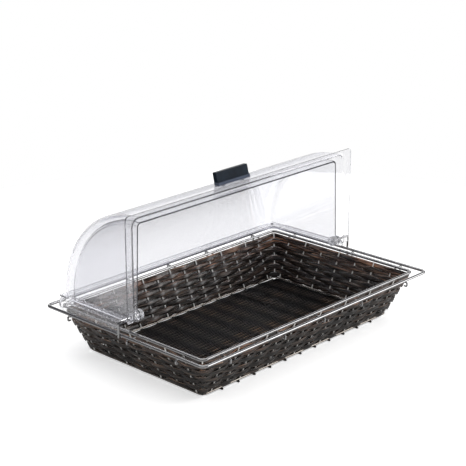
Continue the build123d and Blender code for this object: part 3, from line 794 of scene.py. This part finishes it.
def row_places(z, row, random_swing):
    """Where a strip passes the ribs and corners of its row, in plan."""
    length = half_length(z)
    width = half_width(z)
    walls = (
        (Vector((0, -1, 0)), [Vector((x, -width, z)) for x in LONG_PLACES]),
        (Vector((1, 0, 0)), [Vector((length, y, z)) for y in SHORT_PLACES]),
        (Vector((0, 1, 0)), [Vector((-x, width, z)) for x in LONG_PLACES]),
        (Vector((-1, 0, 0)), [Vector((-length, -y, z)) for y in SHORT_PLACES]),
    )
    points = []
    tilt = Vector((0, 0, -math.sin(LEAN)))
    step = row
    for index, (normal, places) in enumerate(walls):
        following = walls[(index + 1) % 4][0]
        corner = Vector((
            (normal.x + following.x) * (length - CORNER_INSET),
            (normal.y + following.y) * (width - CORNER_INSET),
            z,
        ))
        for number, place_at in enumerate(places):
            outside = step % 2 == 1
            swing = (OUT_SWING if outside else -IN_SWING) * random_swing()
            points.append(place_at + (normal * math.cos(LEAN) + tilt) * swing)
            step += 1
            if number < len(places) - 1:
                points.append((place_at + places[number + 1]) / 2)
        last = places[-1]
        reach = following * (corner - last).dot(following)
        points.append(last + reach * 0.5)
        if step % 2 == 1:
            points.append(corner + normal * OUT_SWING - following * OUT_TURN)
            points.append(corner + (normal + following) * OUT_SWING * OUT_ROUND)
            points.append(corner + following * OUT_SWING - normal * OUT_TURN)
        else:
            before, inward = IN_TURN
            points.append(corner - following * before - normal * inward)
            points.append(corner - (normal + following) * IN_ROUND)
            points.append(corner - normal * before - following * inward)
        first = walls[(index + 1) % 4][1][0]
        points.append(first + normal * (corner - first).dot(normal) * 0.5)
        step += 1
    return points


def widening(point):
    """How much wider a strip is where it passes a rib, and where it wraps a corner."""
    off_end = abs(point.x) - half_length(point.z)
    off_side = abs(point.y) - half_width(point.z)
    offset = min(abs(off_end), abs(off_side))
    wide = STRIP_SWELL * min(1.0, offset / OUT_SWING)
    x = off_end + CORNER_INSET
    y = off_side + CORNER_INSET
    near = max(0.0, 1 - math.hypot(x, y) / CORNER_REACH)
    if x + y > 0 and near > 0:
        wide = max(wide, CORNER_WIDE * min(1.0, CORNER_RISE * near))
    return wide


def make_weave(material):
    """Strips round the walls; each passes a wire on the other side than its neighbours."""
    rng = random.Random(WEAVE_SEED)
    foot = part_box("weave_row_01")[0].z
    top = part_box(f"weave_row_{ROWS:02d}")[1].z
    pitch = (top - foot) / ROWS
    width = (pitch + ROW_LAP) / math.cos(LEAN)
    section = strip_section(width, STRIP_THICK, STRIP_EDGE)
    for number in range(ROWS):
        z = foot + pitch * (number + 0.5)
        points = row_places(z, number, lambda: rng.uniform(*SWING_SPREAD))
        path = smooth_closed(points, STRIP_STEP)
        count = len(path)
        phase = rng.uniform(0, WHOLE_TURN)
        mesh = bmesh.new()
        uv = mesh.loops.layers.uv.new("run")
        rings = []
        runs = [0.0]
        for i, point in enumerate(path):
            along = (path[(i + 1) % count] - path[i - 1]).normalized()
            out = Vector((along.y, -along.x, 0))
            up = (Vector((0, 0, 1)) + out * FLARE).normalized()
            face = along.cross(up).normalized()
            if face.dot(out) < 0:
                face = -face
            runs.append(runs[-1] + (path[(i + 1) % count] - point).length)
            tilt = TILT * math.sin(runs[-1] * TILT_WAVE + phase)
            lift = LIFT * math.sin(runs[-1] * LIFT_WAVE + 2 * phase)
            swell = 1 + widening(point)
            above = swell if number < ROWS - 1 else 1 + TOP_RISE
            ring = []
            for a, b in section:
                rise = a * (above if a > 0 else swell) + lift
                ring.append(mesh.verts.new(point + up * rise + face * (b + a * tilt)))
            rings.append(ring)
        sides = len(section)
        offset = ROW_SHIFT * number
        for i in range(count):
            here = rings[i]
            there = rings[(i + 1) % count]
            for k in range(sides):
                k2 = (k + 1) % sides
                made = mesh.faces.new((here[k], here[k2], there[k2], there[k]))
                across = (section[k][0], section[k2][0], section[k2][0], section[k][0])
                shift = STRIP_SHIFT if section[k][1] + section[k2][1] < 0 else 0.0
                run = (runs[i], runs[i], runs[i + 1], runs[i + 1])
                for loop, u, v in zip(made.loops, run, across):
                    loop[uv].uv = (u + offset, v + shift)
        name = f"weave_row_{number + 1:02d}"
        keep(mesh, f"woven_strip_{number + 1:02d}", material, "woven_strip", name)


# ---------------------------------------------------------------- floor of the basket

MAT_SEED = 5
MAT_STRIPS = 60
MAT_CAD_WIDTH = 0.86  # a floor strip's width in the CAD, in pitches
MAT_WIDTH = 0.9  # and as it is drawn
MAT_EDGE = 0.35  # its edge's thickness, as a share of its middle's
MAT_STEPS = 116
MAT_SAG = 0.8 * MM  # it sinks this much between two cross rods
MAT_SWAY = (0.02, 0.1)  # it strays this many millimetres sideways, picked at random
MAT_SWAY_WAVE = 60  # radians in a metre
MAT_RISE = 0.12  # and it lies up to this many millimetres higher or lower
MAT_RUN_SHIFT = 3.1  # between the maps of two strips, so that their grain differs


def make_cross_rods(material):
    """The rods under the floor, from front to back, on which the bin stands."""
    low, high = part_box("floor_cross_rods")
    radius = (high.z - low.z) / 2
    mesh = bmesh.new()
    for x in spread(CROSS_RODS, cross_rod_pitch()):
        front = Vector((x, low.y + radius, radius))
        back = Vector((x, high.y - radius, radius))
        add_tube(mesh, [front, back], radius, (1, 0, 0), sides=16)
    keep(mesh, "cross_rods", material, "floor_rod", "floor_cross_rods")


def make_mat(material):
    """Long strips side by side, each arched a little over every cross rod."""
    rng = random.Random(MAT_SEED)
    low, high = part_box("floor_mat")
    rod_pitch = cross_rod_pitch()
    thick = high.z - low.z
    pitch = (high.y - low.y) / (MAT_STRIPS - 1 + MAT_CAD_WIDTH)
    width = MAT_WIDTH * pitch
    section = strip_section(width, thick, thick * MAT_EDGE)
    mesh = bmesh.new()
    uv = mesh.loops.layers.uv.new("run")
    for number, y in enumerate(spread(MAT_STRIPS, pitch)):
        # the outermost strips are shorter, to follow the corners of the base rod
        edge = min(BASE_CORNER, max(0.0, abs(y) + width / 2 - (high.y - BASE_CORNER)))
        cut = BASE_CORNER - math.sqrt(BASE_CORNER**2 - edge**2)
        end = high.x - cut
        sway = rng.uniform(*MAT_SWAY) * MM
        phase = rng.uniform(0, WHOLE_TURN)
        rise = rng.uniform(-MAT_RISE, MAT_RISE) * MM
        rings = []
        for i in range(MAT_STEPS + 1):
            x = -end + 2 * end * i / MAT_STEPS
            sag = MAT_SAG * (0.5 - 0.5 * math.cos(2 * math.pi * x / rod_pitch))
            z = high.z - thick / 2 - sag + rise
            middle = Vector((x, y + sway * math.sin(x * MAT_SWAY_WAVE + phase), z))
            rings.append([mesh.verts.new(middle + Vector((0, a, b))) for a, b in section])
        sides = len(section)
        for i in range(MAT_STEPS):
            for k in range(sides):
                k2 = (k + 1) % sides
                quad = (rings[i][k], rings[i][k2], rings[i + 1][k2], rings[i + 1][k])
                made = mesh.faces.new(quad)
                across = (section[k][0], section[k2][0], section[k2][0], section[k][0])
                run = (i, i, i + 1, i + 1)
                for loop, u, v in zip(made.loops, run, across):
                    along = 2 * end * u / MAT_STEPS + MAT_RUN_SHIFT * number
                    loop[uv].uv = (along, v + MAT_SHIFT * (number % 2))
        mesh.faces.new(rings[0])
        mesh.faces.new(rings[-1])
    keep(mesh, "floor_strips", material, "floor_strip", "floor_mat")


# ---------------------------------------------------------------- build

make_stage()
CHROME = chrome_material("bright_chrome", dark=(0.42, 0.415, 0.41), light=(0.52, 0.52, 0.53))
# painted shade and painted reflection: the base rod's chrome is darker and browner, for the shaded
# foot of the wall and the brown weave it mirrors
PAINTED_SHADE_CHROME = chrome_material("chrome_painted_shade", dark=(0.32, 0.28, 0.25), light=(0.46, 0.43, 0.39))
STRIP = strip_material(
    "woven_brown",
    dark=(0.003, 0.003, 0.003),
    middle=(0.017, 0.013, 0.011),
    light=(0.15, 0.115, 0.095),
    rough=0.24,
    streaks=420.0,
)
MAT = mat_material()
ROD = rod_material()
CLEAR = clear_material(
    "clear_shell",
    tint=(0.60, 0.60, 0.69),
    density=42.0,
    ripple=0.001,
    haze=0.012,
    clarity=CLARITY,
)
FITTING = clear_material(
    "clear_fitting",
    tint=(0.8, 0.8, 0.86),
    density=12.0,
    ripple=0.0005,
    haze=0.02,
    clarity=FITTING_CLARITY,
)
PAINTED_BRIGHT_RIB = rib_material()
NAVY = handle_material()
STEEL = screw_material()

make_loops(CHROME, PAINTED_SHADE_CHROME)
make_ribs(PAINTED_BRIGHT_RIB)
make_ties(CHROME)
make_brackets(CHROME)
make_weave(STRIP)
make_cross_rods(ROD)
make_mat(MAT)

# these pieces are seen in their CAD shapes
for name, material in (
    ("front_shell", CLEAR),
    ("rear_shell", CLEAR),
    ("pivot_spacer_left", FITTING),
    ("pivot_spacer_right", FITTING),
    ("pivot_cap_left", FITTING),
    ("pivot_cap_right", FITTING),
    ("handle", NAVY),
    ("handle_screws", STEEL),
):
    NODES[name].data.materials.clear()
    NODES[name].data.materials.append(material)
